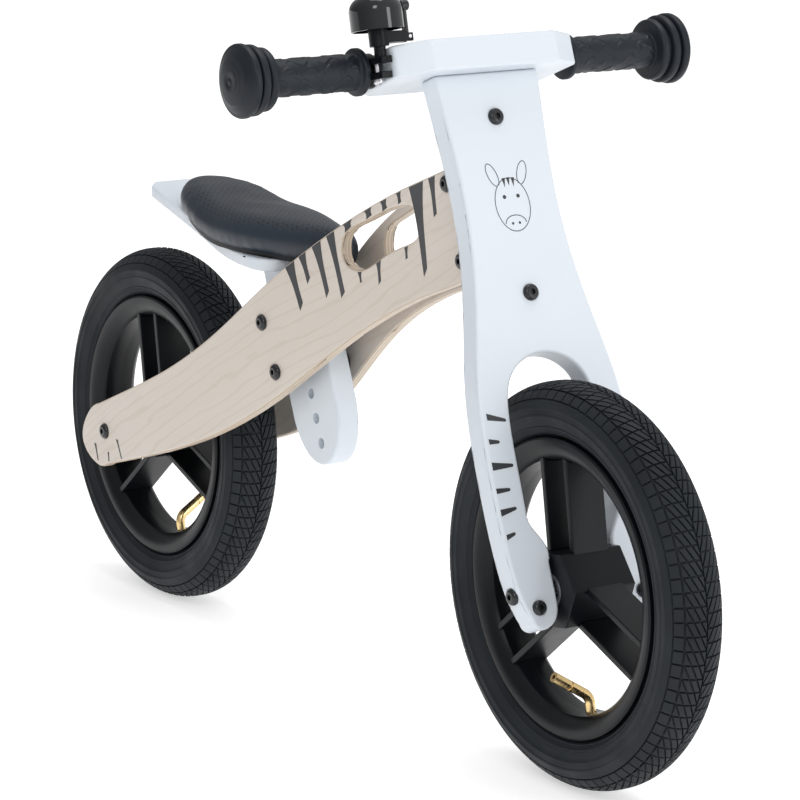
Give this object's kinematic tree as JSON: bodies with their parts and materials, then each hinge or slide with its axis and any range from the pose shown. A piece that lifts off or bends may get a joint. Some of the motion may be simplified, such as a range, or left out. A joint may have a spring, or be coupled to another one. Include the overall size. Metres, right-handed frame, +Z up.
{
  "type": "balance bike",
  "caption": "Wooden toddler balance bike: bent ply side plates with a carry handle, board fork, sprung bell, padded saddle on a stepped post, twelve-inch air-tyre wheels.",
  "frame": {"origin": "on the ground midway between the two axles, in the bike's middle plane", "axes": "+X forward, +Y to the rider's left, +Z up"},
  "size_m": [0.898, 0.4, 0.5707],
  "materials": {
    "birch": "clear satin lacquer on bent birch plywood",
    "white_paint": "satin white paint on wood",
    "bare_wood": "sanded hardwood",
    "black_steel": "black zinc or paint, slightly glossy",
    "steel": "zinc-plated steel",
    "black_nylon": "moulded glass-filled nylon, satin",
    "tyre_rubber": "black rubber",
    "grip_rubber": "soft moulded rubber",
    "vinyl": "black perforated vinyl over foam",
    "brass": "plain brass"
  },
  "bodies": {
    "frame": {"right_side_plate": "birch", "left_side_plate": "birch", "head_block": "bare_wood", "head_bushings": "black_nylon", "head_bolts": "black_steel", "head_nuts": "black_steel", "seat_bolts": "black_steel", "seat_nuts": "black_steel", "seat_spacers": "black_nylon", "rear_axle": "steel", "rear_axle_bolts": "black_steel", "rear_axle_spacers": "black_nylon", "seat_post": "white_paint", "seat_board": "white_paint", "seat_pan": "black_nylon", "seat_cushion": "vinyl", "seat_board_screws": "steel", "seat_post_screws": "steel"},
    "rear_wheel": {"rear_rim": "black_nylon", "rear_hub": "black_nylon", "rear_spokes": "black_nylon", "rear_tyre": "tyre_rubber", "rear_inner_tube": "tyre_rubber", "rear_valve": "brass", "rear_bearings": "steel"},
    "fork": {"fork_board": "white_paint", "upper_steering_lug": "white_paint", "lower_steering_lug": "white_paint", "fork_bolts": "black_steel", "fork_inserts": "steel", "steering_pin": "steel", "steering_nut": "steel", "leg_bolts": "black_steel", "leg_nuts": "black_steel", "front_axle": "steel", "front_axle_bolts": "black_steel", "front_axle_washers": "black_nylon", "handlebar_plate": "white_paint", "handlebar_tube": "black_steel", "handlebar_screws": "black_steel", "plate_screws": "black_steel", "left_grip": "grip_rubber", "right_grip": "grip_rubber", "bell_clamp": "black_nylon", "bell_clamp_screw": "steel", "bell_dome": "black_steel", "bell_dome_screw": "black_steel", "bell_hammer_pin": "steel"},
    "front_wheel": {"front_rim": "black_nylon", "front_hub": "black_nylon", "front_spokes": "black_nylon", "front_tyre": "tyre_rubber", "front_inner_tube": "tyre_rubber", "front_valve": "brass", "front_bearings": "steel"},
    "bell_hammer": {"bell_hammer": "black_steel"}
  },
  "joints": [
    {"name": "steering", "type": "hinge", "parent": "frame", "child": "fork", "pos_m": [0.1676, 0, 0.39907], "axis": [-0.3697, 0, 0.9291], "range_deg": [-40, 40]},
    {"name": "rear_wheel_spin", "type": "hinge", "parent": "frame", "child": "rear_wheel", "pos_m": [-0.299, 0, 0.15], "axis": [0, 1, 0], "continuous": true},
    {"name": "front_wheel_spin", "type": "hinge", "parent": "fork", "child": "front_wheel", "pos_m": [0.299, 0, 0.15], "axis": [0, 1, 0], "continuous": true},
    {"name": "bell_hammer_flick", "type": "hinge", "parent": "fork", "child": "bell_hammer", "pos_m": [0.15308, -0.0616, 0.53639], "axis": [0.9715, 0, 0.2368], "range_deg": [-28, 3], "stiffness_Nm_per_rad": 0.05}
  ]
}
